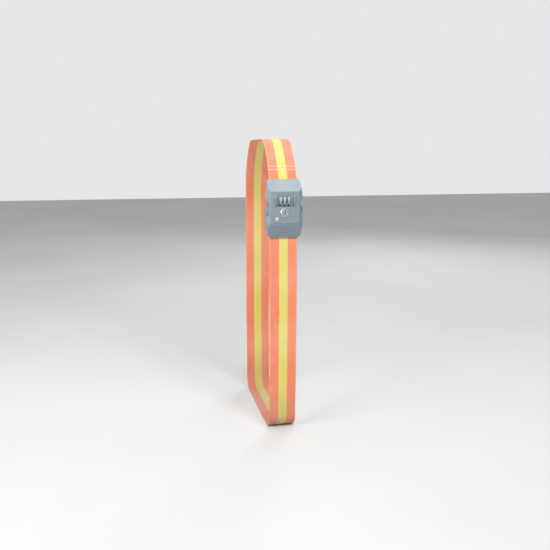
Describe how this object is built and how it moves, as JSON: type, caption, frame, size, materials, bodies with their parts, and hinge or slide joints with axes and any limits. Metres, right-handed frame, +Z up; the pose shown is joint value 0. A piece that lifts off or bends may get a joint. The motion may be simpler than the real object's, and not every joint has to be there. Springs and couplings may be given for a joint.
{
  "type": "luggage strap",
  "caption": "Wide woven luggage strap in a closed loop, striped lengthwise, with a plastic side-release buckle that locks by number dials or a key.",
  "frame": {"origin": "middle of the case section that the loop goes round", "axes": "+X across the webbing, -Y out of the buckle's front, +Z up along the front run"},
  "size_m": [0.0674, 0.2618, 0.5364],
  "materials": {
    "webbing": "ribbed woven webbing",
    "thread": "sewing thread",
    "lock_body": "fine moulded satin",
    "sliding_half": "fine moulded satin",
    "steel": "plated",
    "plated_lock": "satin nickel",
    "dial": "fluted",
    "sleeve": "turned",
    "inlay": "smooth"
  },
  "bodies": {
    "strap_and_lock": {"front_housing": "lock_body", "back_cover": "lock_body", "housing_screws": "steel", "plain_inlay": "inlay", "key_shell": "plated_lock", "cylinder_clip": "steel", "dial_spindle": "steel", "spindle_spring": "steel", "detent_leaf": "steel", "slide_springs": "steel", "webbing_loop": "webbing", "webbing_front_run": "webbing", "fold_stitching": "thread"},
    "male_half": {"male_base": "sliding_half", "webbing_wrap": "webbing", "webbing_tail": "webbing"},
    "left_prong": {"left_prong": "sliding_half"},
    "right_prong": {"right_prong": "sliding_half"},
    "lock_slide": {"lock_slide": "steel"},
    "dial_1": {"dial_1": "dial", "dial_sleeve_1": "sleeve"},
    "dial_2": {"dial_2": "dial", "dial_sleeve_2": "sleeve"},
    "dial_3": {"dial_3": "dial", "dial_sleeve_3": "sleeve"},
    "key": {"key_plug": "plated_lock", "key_cam": "steel", "cam_screw": "steel"}
  },
  "joints": [
    {"name": "male_slide", "type": "slide", "parent": "strap_and_lock", "child": "male_half", "axis": [0, 0, -1], "range_m": [0, 0.04], "deforming": ["webbing_front_run", "left_prong", "right_prong"]},
    {"name": "left_prong_flex", "type": "hinge", "parent": "male_half", "child": "left_prong", "pos_m": [-0.0275, -0.1285, 0.1182], "axis": [0, 1, 0], "range_deg": [0, 9.5], "stiffness_Nm_per_rad": 1.2},
    {"name": "right_prong_flex", "type": "hinge", "parent": "male_half", "child": "right_prong", "pos_m": [0.0275, -0.1285, 0.1182], "axis": [0, -1, 0], "range_deg": [0, 9.5], "stiffness_Nm_per_rad": 1.2},
    {"name": "lock_slide_lift", "type": "slide", "parent": "strap_and_lock", "child": "lock_slide", "axis": [0, 0, 1], "range_m": [0, 0.0016], "stiffness_N_per_m": 6, "deforming": ["slide_springs"]},
    {"name": "dial_1_spin", "type": "hinge", "parent": "strap_and_lock", "child": "dial_1", "pos_m": [-0.0075, -0.1317, 0.1615], "axis": [1, 0, 0], "continuous": true},
    {"name": "dial_2_spin", "type": "hinge", "parent": "strap_and_lock", "child": "dial_2", "pos_m": [0, -0.1317, 0.1615], "axis": [1, 0, 0], "continuous": true},
    {"name": "dial_3_spin", "type": "hinge", "parent": "strap_and_lock", "child": "dial_3", "pos_m": [0.0075, -0.1317, 0.1615], "axis": [1, 0, 0], "continuous": true},
    {"name": "key_turn", "type": "hinge", "parent": "strap_and_lock", "child": "key", "pos_m": [0, -0.132, 0.1404], "axis": [0, 1, 0], "range_deg": [0, 90]}
  ],
  "couplings": [
    {"joint": "right_prong_flex", "follows": "left_prong_flex", "ratio": 1},
    {"joint": "lock_slide_lift", "follows": "left_prong_flex", "m_per_rad": 0.00965}
  ]
}
